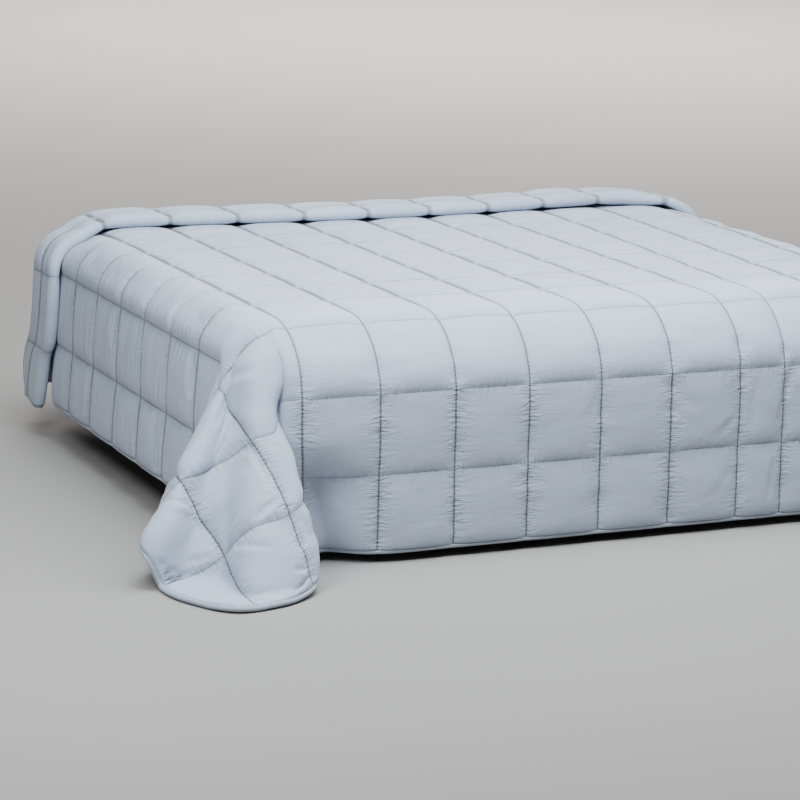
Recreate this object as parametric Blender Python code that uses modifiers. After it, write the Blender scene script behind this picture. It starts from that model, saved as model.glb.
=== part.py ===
"""A box-quilted weighted blanket that hangs over a plain bed.

Z is up and the floor is at z = 0. The origin is on the floor under the middle
of the bed, where its centre leg stands. X runs along the near side of the bed,
with the left side at -X, and Y points to the far side.

The blanket is a draped sheet. A point on it has cloth coordinates (u, v), in
quilted squares: u counts the seams from left to right, v the seams from the
near hem to the far hem. Over the far side of the bed the cloth is laid in one
Z-shaped pleat, and at both near corners its spare cloth falls as a cone.
"""
import math

import bmesh
import bpy
from mathutils import Vector

NAME = "weighted_blanket_on_bed"

# Fit between pieces
SEAT_GAP = 0.0003          # pieces that rest on each other
EDGE_GAP = 0.004           # cloth to the sides of the mattress

# Bed
MATTRESS_LENGTH = 2.00     # along X
MATTRESS_WIDTH = 1.80      # along Y
MATTRESS_TOP = 0.572
MATTRESS_DEPTH = 0.25
MATTRESS_CORNER = 0.17     # upright corners
MATTRESS_CORNER_STEPS = 6
MATTRESS_ROLL = 0.19       # radius of the soft top edges at the sides
MATTRESS_NEAR_ROLL = 0.20  # and along the near side
MATTRESS_FAR_ROLL = 0.09   # firmer along the far side
MATTRESS_UNDER_ROLL = 0.02
MATTRESS_LEVELS = 7        # sections through the rolled top
BASE_INSET = 0.08          # base inside the mattress on each side
BASE_DEPTH = 0.20
BASE_CORNER = 0.02
LEG_RADIUS = 0.030
LEG_INSET = 0.16           # leg centre inside the base's edge

# Quilted squares and the flat blanket
SQUARE = 0.200
STEPS = 3                  # mesh faces along one square
SEAM_0_X = -1.076          # where seam u = 0 would lie on the flat top
SEAM_0_Y = -0.991          # where seam v = 0 would lie on the flat top
HEM_LEFT = -1.83           # flat outline of the blanket, in squares
HEM_RIGHT = 12.17
HEM_NEAR = -1.97
HEM_FAR = 10.35
CORNER_ROUND = 0.65        # radius of the blanket's own corners, in squares
LOFT = 0.020               # thickness in the middle of a square
SEAM_LOFT = 0.45           # thickness at a seam, as a share of LOFT
NEUTRAL = 0.012            # height in the cloth that keeps its length in a bend

# Fall over the edges of the bed (under face of the blanket)
FLAT_LEFT = 0.85           # where the flat top ends, in squares
FLAT_RIGHT = 9.91
FLAT_NEAR = 1.328
SIDE_LEAN = math.radians(3.3)
NEAR_LEAN = math.radians(1.4)

# Over the ends of the far edge the soft mattress lets the cloth sink
LEFT_SAG = 0.038
LEFT_SAG_FROM_V = 6.8
LEFT_SAG_FULL_V = 8.0

# The right part of the cloth lies pulled to the left, most at the near side
PULL = 0.40                # squares, at the near side
PULL_FROM_U = 6.9
PULL_FULL_U = 8.3
PULL_FROM_V = 8.0
PULL_FULL_V = 0.0

# Spare cloth at the near corners. The cloth fans out from the top corner, and
# each row is one ray of the fan: its angle in the flat cloth from the side,
# the way it faces from the side (0) to the near side (90), and how far it
# leans out from upright, all in degrees.
CORNER_FAN = (
    # in cloth, facing, lean
    (0, 0, 3.3),
    (10, 10, 20),
    (20, 19, 32),
    (30, 30, 40),
    (40, 37, 30),
    (50, 54, 25),
    (60, 67, 33),
    (70, 80, 31),
    (80, 90, 23),
    (90, 90, 1.4),
)
FAN_BLEND = 1.0            # squares from the top corner until the rays take over
SLUMP = 0.050              # sag of the cloth at the soft corner
SLUMP_BLEND = 1.5
LYING_HEIGHT = 0.004       # under face of the cloth that lies on the floor
LYING_BEND = 0.050         # radius where it meets the floor

# Z-shaped pleat along the far side. Each row is a place across the blanket
# (u), the line (v) where the front fold lies there, and how deep the bottom
# layer sinks in beside it where the pleat hangs open.
PLEAT_LINE = (
    # u, front fold, opening
    (-1.83, 7.82, 0.050),
    (-1.12, 7.68, 0.045),
    (-0.85, 7.50, 0.000),
    (0.00, 7.50, 0.000),
    (1.10, 7.82, 0.000),
    (3.00, 7.75, 0.000),
    (5.00, 7.67, 0.000),
    (7.00, 7.78, 0.000),
    (9.20, 8.05, 0.000),
    (10.40, 7.60, 0.000),
    (12.17, 7.80, 0.000),
)
PLEAT_MOUTH = (
    # v, share of the opening, share of the loft
    (7.33, 0.0, 0.90),
    (7.62, 0.1, 0.60),
    (7.85, 0.8, 0.52),
    (8.10, 1.0, 0.52),
)
PLEAT_CLOTH = 9.6          # cloth coordinate at the front fold
PLEAT_TOP = (9.80, 10.0, 10.18, HEM_FAR)   # rows of the top layer
PLEAT_REAR_BEND = 0.0145   # radius of the rear fold, under face
PLEAT_FRONT_BEND = 0.0025  # radius of the front fold, under face
PLEAT_BEND_STEPS = 4
PLEAT_LOFT = 0.52          # thickness of the folded layers, as a share of LOFT
PLEAT_START = 7.0          # last even row of the mesh before the pleat
LAYER_DROP_BLEND = 2.0     # squares over which a lifted layer comes to hang lower

# Sewn edge
BINDING_RADIUS = 0.0055
BINDING_GAP = 0.0016       # to the blanket's rim
BINDING_SIDES = 6


def smooth(low, high, value):
    """Rise from 0 at low to 1 at high with level ends."""
    t = min(max((value - low) / (high - low), 0.0), 1.0)
    return t * t * (3.0 - 2.0 * t)


def read_table(table, column, key):
    """Read one column of a table between its rows with a smooth curve."""
    last = len(table) - 2
    row = 0
    while row < last and key > table[row + 1][0]:
        row += 1
    before = table[max(row - 1, 0)]
    start = table[row]
    end = table[row + 1]
    after = table[min(row + 2, last + 1)]
    width = end[0] - start[0]
    t = min(max((key - start[0]) / width, 0.0), 1.0)
    rise = end[column] - start[column]
    slope_in = width * (end[column] - before[column]) / (end[0] - before[0])
    slope_out = width * (after[column] - start[column]) / (after[0] - start[0])
    bend = t * t * (3.0 - 2.0 * t)
    return (start[column] + rise * bend
            + slope_in * t * (1.0 - t) ** 2 - slope_out * t * t * (1.0 - t))


def over_edge(length, radius, lean):
    """Reach, drop and turned angle of cloth that runs over an edge."""
    turn = math.pi / 2.0 - lean
    bend = radius + NEUTRAL
    angle = min(length / bend, turn)
    straight = length - bend * angle
    reach = radius * math.sin(angle) + straight * math.sin(lean)
    drop = radius * (1.0 - math.cos(angle)) + straight * math.cos(lean)
    return reach, drop, angle


def fan_reach(facing, side_reach, near_reach):
    """Distance from the top corner of the flat to the rounded bed outline."""
    across = side_reach / max(math.cos(facing), 1e-6)
    along = near_reach / max(math.sin(facing), 1e-6)
    return (across ** -6 + along ** -6) ** (-1.0 / 6.0)


def to_floor(length, radius, lean, height):
    """Reach and drop of a fan ray that may bend out and lie on the floor."""
    turn = math.pi / 2.0 - lean
    reach, drop, _ = over_edge(length, radius, lean)
    free = (height - LYING_BEND * (1.0 - math.sin(lean))
            - radius * (1.0 - math.cos(turn))) / math.cos(lean)
    past = length - (radius + NEUTRAL) * turn - free
    if past <= 0.0:
        return reach, drop
    reach, drop, _ = over_edge(length - past, radius, lean)
    angle = lean + min(past / LYING_BEND, turn)
    reach += LYING_BEND * (math.cos(lean) - math.cos(angle))
    drop += LYING_BEND * (math.sin(angle) - math.sin(lean))
    reach += max(past - LYING_BEND * turn, 0.0)
    return reach, drop


def side_radius():
    """Bend radius over the left and right edges."""
    return MATTRESS_LENGTH / 2.0 + EDGE_GAP + SEAM_0_X + FLAT_LEFT * SQUARE


def near_radius():
    """Bend radius over the near edge."""
    return MATTRESS_WIDTH / 2.0 + EDGE_GAP + SEAM_0_Y + FLAT_NEAR * SQUARE


def pulled(u, v):
    """Slide a cloth place to where it lies across the bed."""
    return u - PULL * smooth(PULL_FROM_U, PULL_FULL_U, u) * smooth(PULL_FROM_V, PULL_FULL_V, v)


def drape(u, v, lift):
    """Place a cloth point: its position lift metres above the bottom layer."""
    u = pulled(u, v)
    x = SEAM_0_X + u * SQUARE
    y = SEAM_0_Y + v * SQUARE
    z = MATTRESS_TOP + SEAT_GAP
    side = -1.0 if u < FLAT_LEFT else 1.0
    flat_side = FLAT_LEFT if side < 0.0 else FLAT_RIGHT
    past_side = max(side * (u - flat_side), 0.0) * SQUARE
    past_side += 0.5 * lift * smooth(0.0, LAYER_DROP_BLEND * SQUARE, past_side)
    past_near = max(FLAT_NEAR - v, 0.0) * SQUARE
    corner_x = SEAM_0_X + flat_side * SQUARE
    corner_y = SEAM_0_Y + FLAT_NEAR * SQUARE
    if past_side > 0.0 and past_near > 0.0:
        return drape_corner(past_side, past_near, side, corner_x, corner_y, z)
    if past_side > 0.0:
        reach, drop, angle = over_edge(past_side, side_radius(), SIDE_LEAN)
        if side < 0.0:
            sag = LEFT_SAG * smooth(LEFT_SAG_FROM_V, LEFT_SAG_FULL_V, v)
            lift -= sag * math.sin(2.0 * angle) ** 2
        return Vector((corner_x + side * (reach + lift * math.sin(angle)), y,
                       z - drop + lift * math.cos(angle)))
    if past_near > 0.0:
        reach, drop, angle = over_edge(past_near, near_radius(), NEAR_LEAN)
        return Vector((x, corner_y - reach - lift * math.sin(angle),
                       z - drop + lift * math.cos(angle)))
    return Vector((x, y, z + lift))


def drape_corner(past_side, past_near, side, corner_x, corner_y, z):
    """Place a cloth point in the cone of spare cloth at a near corner."""
    length = math.hypot(past_side, past_near)
    in_cloth = math.atan2(past_near, past_side)
    facing = math.radians(read_table(CORNER_FAN, 1, math.degrees(in_cloth)))
    lean = math.radians(read_table(CORNER_FAN, 2, math.degrees(in_cloth)))
    radius = fan_reach(facing, side_radius(), near_radius())
    ends = math.degrees(min(in_cloth, math.pi / 2.0 - in_cloth))
    spare = smooth(0.0, 25.0, ends)
    slump = SLUMP * spare
    length += NEUTRAL * (math.pi / 2.0 - lean) * spare * smooth(0.0, SLUMP_BLEND * SQUARE, length)
    reach, drop = to_floor(length, radius, lean, z - slump - LYING_HEIGHT)
    drop += slump * smooth(0.0, SLUMP_BLEND * SQUARE, length)
    blend = smooth(0.0, FAN_BLEND * SQUARE, length)
    heading = in_cloth + (facing - in_cloth) * blend
    return Vector((corner_x + side * reach * math.cos(heading),
                   corner_y - reach * math.sin(heading),
                   z - drop))


def pleat_rows(front, opening):
    """Rows of the pleat for one line across.

    Each row is a place in the cloth, a place on the bed, a lift above the
    bottom layer and a share of the loft. front is where the front fold lies.
    """
    rear = (PLEAT_CLOTH + front) / 2.0
    rear_bend = PLEAT_REAR_BEND / SQUARE
    front_bend = PLEAT_FRONT_BEND / SQUARE
    middle_lift = 2.0 * PLEAT_REAR_BEND
    top_lift = middle_lift + 2.0 * PLEAT_FRONT_BEND
    rows = []
    for place, depth, share in PLEAT_MOUTH:
        rows.append((place, place, -depth * opening, share))
    for step in range(PLEAT_BEND_STEPS + 1):
        angle = math.pi * step / PLEAT_BEND_STEPS
        place = rear - rear_bend + rear_bend * math.sin(angle)
        lift = PLEAT_REAR_BEND * (1.0 - math.cos(angle)) - opening * (1.0 + math.cos(angle)) / 2.0
        rows.append((rear, place, lift, SEAM_LOFT))
    middle = (rear - rear_bend + front + front_bend) / 2.0
    rows.append((2.0 * rear - middle, middle, middle_lift, PLEAT_LOFT))
    for step in range(PLEAT_BEND_STEPS + 1):
        angle = math.pi * step / PLEAT_BEND_STEPS
        place = front + front_bend - front_bend * math.sin(angle)
        lift = middle_lift + PLEAT_FRONT_BEND * (1.0 - math.cos(angle))
        rows.append((PLEAT_CLOTH, place, lift, PLEAT_LOFT))
    for cloth in PLEAT_TOP:
        rows.append((cloth, front + cloth - PLEAT_CLOTH, top_lift, 1.0))
    return rows


def even_lines(low, high):
    """Cloth places from low to high, one on every seam and STEPS to a square."""
    first = math.ceil(low)
    last = math.floor(high)
    lines = [low + (first - low) * step / STEPS for step in range(STEPS)]
    lines += [first + step / STEPS for step in range((last - first) * STEPS + 1)]
    if high > last:
        lines += [last + (high - last) * (step + 1) / STEPS for step in range(STEPS)]
    return lines


def is_seam(value):
    """Tell whether a cloth coordinate lies on a seam."""
    return abs(value - round(value)) < 1e-6


def round_corner(u, v):
    """Pull a flat point in where the blanket's own corners are round."""
    side = -1.0 if u < FLAT_LEFT else 1.0
    end = -1.0 if v < FLAT_NEAR else 1.0
    hem_u = HEM_LEFT if side < 0.0 else HEM_RIGHT
    hem_v = HEM_NEAR if end < 0.0 else HEM_FAR
    a = 1.0 - abs(hem_u - u) / CORNER_ROUND
    b = 1.0 - abs(hem_v - v) / CORNER_ROUND
    if a <= 0.0 or b <= 0.0:
        return u, v
    round_a = a * math.sqrt(1.0 - b * b / 2.0)
    round_b = b * math.sqrt(1.0 - a * a / 2.0)
    return u - side * (a - round_a) * CORNER_ROUND, v - end * (b - round_b) * CORNER_ROUND


def blanket_lattice():
    """Grid of (position, loft share) for the blanket's under face."""
    lattice = []
    for u in even_lines(HEM_LEFT, HEM_RIGHT):
        front = read_table(PLEAT_LINE, 1, u)
        opening = read_table(PLEAT_LINE, 2, u)
        rows = [(v, v, 0.0, 1.0) for v in even_lines(HEM_NEAR, PLEAT_START)]
        rows += pleat_rows(front, opening)
        column = []
        for cloth, place, lift, share in rows:
            flat_u, flat_cloth = round_corner(u, cloth)
            point = drape(flat_u, place + flat_cloth - cloth, lift)
            on_edge = u in (HEM_LEFT, HEM_RIGHT) or cloth in (HEM_NEAR, HEM_FAR)
            sewn = on_edge or is_seam(u) or is_seam(cloth)
            column.append((point, min(SEAM_LOFT, share) if sewn else share))
        lattice.append(column)
    return lattice


def material(name, colour, roughness):
    """Plain Principled material."""
    made = bpy.data.materials.new(name)
    made.use_nodes = True
    shader = made.node_tree.nodes["Principled BSDF"]
    shader.inputs["Base Color"].default_value = (*colour, 1.0)
    shader.inputs["Roughness"].default_value = roughness
    shader.inputs["Metallic"].default_value = 0.0
    made.diffuse_color = (*colour, 1.0)
    return made


def add_object(name, mesh, collection, look):
    """Put a mesh in the collection as a named sub-part."""
    made = bpy.data.objects.new(name, mesh)
    mesh.materials.append(look)
    collection.objects.link(made)
    return made


def mesh_from(name, shape):
    """Turn a bmesh into a mesh and free it."""
    mesh = bpy.data.meshes.new(name)
    shape.to_mesh(mesh)
    shape.free()
    return mesh


def make_blanket(lattice, collection, look):
    """Quilted blanket: one draped surface, thicker inside each square."""
    shape = bmesh.new()
    grid = [[shape.verts.new(point) for point, _ in column] for column in lattice]
    for left, right in zip(grid, grid[1:]):
        for row in range(len(left) - 1):
            shape.faces.new((left[row], right[row], right[row + 1], left[row + 1]))
    blanket = add_object("blanket", mesh_from("blanket", shape), collection, look)
    loft = blanket.vertex_groups.new(name="loft")
    shares = [share for column in lattice for _, share in column]
    for index, share in enumerate(shares):
        loft.add([index], share, "REPLACE")
    solidify = blanket.modifiers.new("quilt thickness", "SOLIDIFY")
    solidify.thickness = LOFT
    solidify.offset = 1.0
    solidify.vertex_group = "loft"
    return blanket


def rim_loop(columns, rows):
    """Indices of the points round the rim of a columns x rows grid, in order."""
    loop = [column * rows for column in range(columns - 1)]
    loop += [(columns - 1) * rows + row for row in range(rows - 1)]
    loop += [column * rows + rows - 1 for column in range(columns - 1, 0, -1)]
    loop += list(range(rows - 1, 0, -1))
    return loop


def make_binding(lattice, surface, collection, look):
    """Sewn edge: a round piping that follows the blanket's rim all round."""
    rim = [surface.vertices[index] for index in rim_loop(len(lattice), len(lattice[0]))]
    shape = bmesh.new()
    rings = []
    for index, vertex in enumerate(rim):
        before = (vertex.co - rim[index - 1].co).normalized()
        after = (rim[(index + 1) % len(rim)].co - vertex.co).normalized()
        along = (before + after).normalized()
        stretch = 1.0 / max(after.dot(along), 0.6)
        facing = vertex.normal * 2.0 + rim[index - 1].normal
        facing += rim[(index + 1) % len(rim)].normal
        outward = along.cross(facing).normalized()
        up = outward.cross(along).normalized()
        centre = (vertex.co + vertex.normal * LOFT * SEAM_LOFT / 2.0
                  + outward * (BINDING_RADIUS + BINDING_GAP) * stretch)
        centre.z = max(centre.z, BINDING_RADIUS + SEAT_GAP)
        ring = []
        for side in range(BINDING_SIDES):
            angle = 2.0 * math.pi * (side + 0.5) / BINDING_SIDES
            arm = outward * math.cos(angle) * stretch + up * math.sin(angle)
            ring.append(shape.verts.new(centre + arm * BINDING_RADIUS))
        rings.append(ring)
    for index, first in enumerate(rings):
        second = rings[(index + 1) % len(rings)]
        for side in range(BINDING_SIDES):
            following = (side + 1) % BINDING_SIDES
            shape.faces.new((first[side], second[side], second[following], first[following]))
    bmesh.ops.recalc_face_normals(shape, faces=shape.faces)
    return add_object("edge_binding", mesh_from("edge_binding", shape), collection, look)


def box(length, width, height, centre):
    """Box as a bmesh."""
    shape = bmesh.new()
    bmesh.ops.create_cube(shape, size=1.0)
    bmesh.ops.scale(shape, vec=(length, width, height), verts=shape.verts)
    bmesh.ops.translate(shape, vec=centre, verts=shape.verts)
    return shape


def bevel_edges(shape, chosen, radius, segments):
    """Round the chosen edges of a bmesh."""
    bmesh.ops.bevel(shape, geom=chosen, offset=radius, segments=segments,
                    profile=0.5, affect="EDGES", clamp_overlap=True)


def rolled_inset(radius, height):
    """How far a side lies in from its face at a height below the top."""
    rise = max(radius - height, 0.0)
    return radius - math.sqrt(radius * radius - rise * rise)


def mattress_section(height):
    """Outline of the mattress at a height below its top, as flat points."""
    side = MATTRESS_LENGTH / 2.0 - rolled_inset(MATTRESS_ROLL, height)
    near = MATTRESS_WIDTH / 2.0 - rolled_inset(MATTRESS_NEAR_ROLL, height)
    far = MATTRESS_WIDTH / 2.0 - rolled_inset(MATTRESS_FAR_ROLL, height)
    side -= rolled_inset(MATTRESS_UNDER_ROLL, MATTRESS_DEPTH - height)
    near -= rolled_inset(MATTRESS_UNDER_ROLL, MATTRESS_DEPTH - height)
    far -= rolled_inset(MATTRESS_UNDER_ROLL, MATTRESS_DEPTH - height)
    points = []
    for quarter, (sign_x, reach_y) in enumerate(((1, far), (-1, far), (-1, -near), (1, -near))):
        centre_x = sign_x * (side - MATTRESS_CORNER)
        centre_y = reach_y - math.copysign(MATTRESS_CORNER, reach_y)
        for step in range(MATTRESS_CORNER_STEPS + 1):
            angle = math.pi / 2.0 * (quarter + step / MATTRESS_CORNER_STEPS)
            points.append((centre_x + MATTRESS_CORNER * math.cos(angle),
                           centre_y + MATTRESS_CORNER * math.sin(angle)))
    return points


def make_mattress(collection, look):
    """Mattress: round corners and rolled edges, softest along the near side."""
    rolled = [MATTRESS_NEAR_ROLL * (1.0 - math.cos(math.pi / 2.0 * step / MATTRESS_LEVELS))
              for step in range(MATTRESS_LEVELS + 1)]
    under = [MATTRESS_DEPTH - MATTRESS_UNDER_ROLL, MATTRESS_DEPTH - 0.3 * MATTRESS_UNDER_ROLL,
             MATTRESS_DEPTH]
    shape = bmesh.new()
    rings = []
    for height in rolled + under:
        rings.append([shape.verts.new((x, y, MATTRESS_TOP - height))
                      for x, y in mattress_section(height)])
    for upper, lower in zip(rings, rings[1:]):
        for index in range(len(upper)):
            following = (index + 1) % len(upper)
            shape.faces.new((upper[index], lower[index], lower[following], upper[following]))
    shape.faces.new(rings[0])
    shape.faces.new(list(reversed(rings[-1])))
    return add_object("mattress", mesh_from("mattress", shape), collection, look)


def make_base(collection, look):
    """Bed base: an upholstered box set in from the mattress."""
    top = MATTRESS_TOP - MATTRESS_DEPTH - SEAT_GAP
    length = MATTRESS_LENGTH - 2.0 * BASE_INSET
    width = MATTRESS_WIDTH - 2.0 * BASE_INSET
    shape = box(length, width, BASE_DEPTH, (0.0, 0.0, top - BASE_DEPTH / 2.0))
    upright = [edge for edge in shape.edges
               if abs(edge.verts[0].co.z - edge.verts[1].co.z) > BASE_DEPTH / 2.0]
    bevel_edges(shape, upright, BASE_CORNER, 3)
    return add_object("bed_base", mesh_from("bed_base", shape), collection, look)


def make_legs(collection, look):
    """Five round legs: one near each corner and one in the middle."""
    height = MATTRESS_TOP - MATTRESS_DEPTH - BASE_DEPTH - 2.0 * SEAT_GAP
    reach_x = MATTRESS_LENGTH / 2.0 - BASE_INSET - LEG_INSET
    reach_y = MATTRESS_WIDTH / 2.0 - BASE_INSET - LEG_INSET
    places = {
        "leg_near_left": (-reach_x, -reach_y),
        "leg_near_right": (reach_x, -reach_y),
        "leg_far_left": (-reach_x, reach_y),
        "leg_far_right": (reach_x, reach_y),
        "leg_centre": (0.0, 0.0),
    }
    for name, (x, y) in places.items():
        shape = bmesh.new()
        bmesh.ops.create_cone(shape, cap_ends=True, segments=24, radius1=LEG_RADIUS,
                              radius2=LEG_RADIUS, depth=height)
        leg = add_object(name, mesh_from(name, shape), collection, look)
        leg.location = (x, y, height / 2.0)


def main():
    """Build the bed and the blanket in an empty file."""
    for old in list(bpy.data.objects):
        bpy.data.objects.remove(old, do_unlink=True)
    collection = bpy.data.collections.new(NAME)
    bpy.context.scene.collection.children.link(collection)
    quilted = material("silver blue quilted fabric", (0.53, 0.58, 0.63), 0.75)
    piping = material("silver blue piping", (0.46, 0.51, 0.57), 0.75)
    ticking = material("white mattress ticking", (0.80, 0.80, 0.78), 0.85)
    upholstery = material("grey base fabric", (0.30, 0.31, 0.33), 0.90)
    wood = material("dark stained wood", (0.10, 0.07, 0.05), 0.45)
    lattice = blanket_lattice()
    blanket = make_blanket(lattice, collection, quilted)
    make_binding(lattice, blanket.data, collection, piping)
    make_mattress(collection, ticking)
    make_base(collection, upholstery)
    make_legs(collection, wood)


main()
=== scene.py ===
"""Dressed scene of a box-quilted weighted blanket over a plain bed."""

import math

import bmesh
import bpy
import numpy as np
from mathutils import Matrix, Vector


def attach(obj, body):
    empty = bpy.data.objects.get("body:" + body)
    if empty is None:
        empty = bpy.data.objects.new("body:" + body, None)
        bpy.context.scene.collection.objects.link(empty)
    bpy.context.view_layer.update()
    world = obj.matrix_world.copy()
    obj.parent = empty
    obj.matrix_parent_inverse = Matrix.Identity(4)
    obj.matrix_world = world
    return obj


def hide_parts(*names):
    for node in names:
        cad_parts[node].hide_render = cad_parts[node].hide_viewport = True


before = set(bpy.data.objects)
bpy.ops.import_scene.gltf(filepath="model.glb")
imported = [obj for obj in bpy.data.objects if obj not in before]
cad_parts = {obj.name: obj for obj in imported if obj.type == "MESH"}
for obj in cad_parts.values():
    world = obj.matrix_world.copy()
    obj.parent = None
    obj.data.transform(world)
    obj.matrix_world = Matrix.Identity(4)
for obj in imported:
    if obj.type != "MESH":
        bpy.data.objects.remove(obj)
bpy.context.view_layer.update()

# ---------------------------------------------------------------- sizes
# Bed
MATTRESS_LENGTH = 2.00
MATTRESS_WIDTH = 1.80
MATTRESS_TOP = 0.572
MATTRESS_DEPTH = 0.25
MATTRESS_CORNER = 0.17
MATTRESS_ROLL = 0.19
MATTRESS_NEAR_ROLL = 0.20
MATTRESS_FAR_ROLL = 0.09
MATTRESS_UNDER_ROLL = 0.02
BASE_INSET = 0.08
BASE_DEPTH = 0.20
SEAT_GAP = 0.0003
EDGE_GAP = 0.004

# Flat blanket, in quilted squares
SQUARE = 0.200
SEAM_0_X = -1.076
SEAM_0_Y = -0.991
HEM_LEFT = -1.83
HEM_RIGHT = 12.17
HEM_NEAR = -1.97
HEM_FAR = 10.35
CORNER_ROUND = 0.65

# Filling
PUFF = 0.020               # thickness in the middle of a square
CHANNEL = 0.0075           # thickness along a seam
HIDDEN_PUFF = 0.52         # share of the thickness in the folded layers
HANGING_PUFF = 0.30        # how much fuller the squares that hang are
GROOVE_THINNING = 0.62     # how much thinner the cloth is in the grooves by the cones
THINNEST = 0.004
NEUTRAL = 0.012            # height in the cloth that keeps its length in a bend
OUTER_CLEARANCE = 0.0015   # lowest point of the outer skin above the floor
UNDER_CLEARANCE = 0.0010   # and of the under face

# Fall over the edges
FLAT_LEFT = 0.85
FLAT_RIGHT = 9.91
FLAT_NEAR = 1.328
SIDE_LEAN = math.radians(3.3)
NEAR_LEAN = math.radians(1.4)
LEFT_SAG = 0.030
LEFT_SAG_AT = 0.045
LEFT_SAG_WIDTH = 0.062
LEFT_SAG_FROM_V = 6.8
LEFT_SAG_FULL_V = 8.0
PULL = 0.40
PULL_FROM_U = 6.9
PULL_FULL_U = 8.3
PULL_FROM_V = 8.0
PULL_FULL_V = 0.0

# Rays of spare cloth at the near corners, in degrees
CORNER_FAN = (
    # in cloth, facing, lean
    (0, 0, 3.3),
    (10, 10, 20),
    (20, 19, 32),
    (30, 30, 40),
    (40, 37, 30),
    (50, 54, 25),
    (60, 67, 33),
    (70, 80, 31),
    (80, 90, 23),
    (90, 90, 1.4),
)
FAN_BLEND = 1.0
FAN_SPARE_FROM = 25.0      # degrees from either side where all the spare cloth is there
BED_SQUARENESS = 6         # 2 makes the bed's corner round, more makes it squarer
VALLEY_DEPTH = 0.068       # fold of the hanging front beside the near left cone
TUCK_DEPTH = 0.040         # how far that cone's right flank is drawn in
SLUMP = 0.050
SLUMP_BLEND = 1.5
LYING_HEIGHT = 0.004
LYING_BEND = 0.050

# Z-shaped pleat along the far side
PLEAT_LINE = (
    # u, front fold, opening
    (-1.83, 7.82, 0.050),
    (-1.12, 7.68, 0.045),
    (-0.85, 7.50, 0.000),
    (0.00, 7.50, 0.000),
    (1.10, 7.82, 0.000),
    (3.00, 7.75, 0.000),
    (5.00, 7.67, 0.000),
    (7.00, 7.78, 0.000),
    (9.20, 8.05, 0.000),
    (10.40, 7.60, 0.000),
    (12.17, 7.80, 0.000),
)
PLEAT_MOUTH = (
    # v, share of the opening
    (7.33, 0.0),
    (7.62, 0.1),
    (7.85, 0.8),
    (8.10, 1.0),
)
LOWER_LAYER_END = 8.1      # last even row of the cloth before it folds
INSIDE_FOLD = 8.5          # cloth place of every row inside the fold
PLEAT_CLOTH = 9.6          # cloth place of the front fold
REAR_STEPS = 6
FRONT_STEPS = 8
PLEAT_REAR_BEND = 0.0145
PLEAT_FRONT_BEND = 0.0025
LAYER_DROP_BLEND = 2.0

# How far each cross seam lies from its even place, in squares
SEAM_DRIFT = (
    # v, drift
    (-1.97, 0.00),
    (-1.0, -0.03),
    (0.0, -0.04),
    (1.0, -0.04),
    (2.0, 0.10),
    (3.0, 0.09),
    (4.0, 0.07),
    (5.0, 0.02),
    (6.0, -0.02),
    (7.0, -0.10),
    (7.6, 0.00),
)

# The cross seams climb round the near left cone by up to this much, in squares
CORNER_DRIFT = 0.58
CORNER_DRIFT_FROM_U = 0.6
CORNER_DRIFT_FULL_U = -2.4

# Mesh lines across one square, close together beside its seams
SQUARE_LINES = (0.0, 0.02, 0.045, 0.08, 0.12, 0.17, 0.225, 0.285, 0.35, 0.42,
                0.5, 0.58, 0.65, 0.715, 0.775, 0.83, 0.88, 0.92, 0.955, 0.98)
FINE_LINES = (
    (0.0, 0.02, 0.045) + tuple(0.08 + 0.035 * step for step in range(25)) + (0.955, 0.98))
UNDER_EVERY = 3            # the under face keeps every third line
PIPING_RADIUS = 0.0058
PIPING_SIDES = 10
PIPING_SPACING = 0.009
STITCH_PITCH = 0.010
STITCH_SIZE = (0.0006, 0.0006, 0.0034)
STITCH_LIFT = 0.0004       # centre line of the thread above the skin
HEM_STITCHED_TO = 7.4      # the hem's side seams run into the fold here

# Trim of the bed
TAPES = (("mattress_tape_upper", 0.100), ("mattress_tape_lower", 0.222))   # metres down
TAPE_SPACING = 0.02
TAPE_SIDES = 8
TAPE_RADIUS = 0.004
BASE_PIPING_RADIUS = 0.0035
BASE_PIPING_BEND = 0.013
BASE_EDGE = 0.014

# Finishes: linear red, green and blue, and sizes in metres
COVER_DARK = (0.357, 0.403, 0.502)
COVER_LIGHT = (0.516, 0.572, 0.688)
# dark colour that the seam lines and the shade painted along and beside the seams mix towards
SEAM_AND_SHADE_COLOUR = (0.050, 0.057, 0.070)
PIPING_DARK = (0.26, 0.30, 0.36)
PIPING_LIGHT = (0.38, 0.425, 0.49)
THREAD_DARK = (0.11, 0.124, 0.150)
THREAD_LIGHT = (0.165, 0.184, 0.22)
TICKING_DARK = (0.68, 0.67, 0.64)
TICKING_LIGHT = (0.82, 0.81, 0.78)
BASE_DARK = (0.20, 0.205, 0.22)
BASE_LIGHT = (0.36, 0.37, 0.39)
WOOD_DARK = (0.045, 0.028, 0.018)
WOOD_LIGHT = (0.16, 0.105, 0.07)
FLOOR_COLOUR = (0.318, 0.294, 0.283, 1.0)
COVER_THREADS = 620.0      # threads in one metre
WEAVE_RELIEF = 0.0009
COARSE_RELIEF = 0.0015
SEAMS_ABOVE_ZERO = 20.0    # whole squares that bring every cloth place above zero
STITCHES_DRAWN = 20.0      # dashes painted along one square

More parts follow.
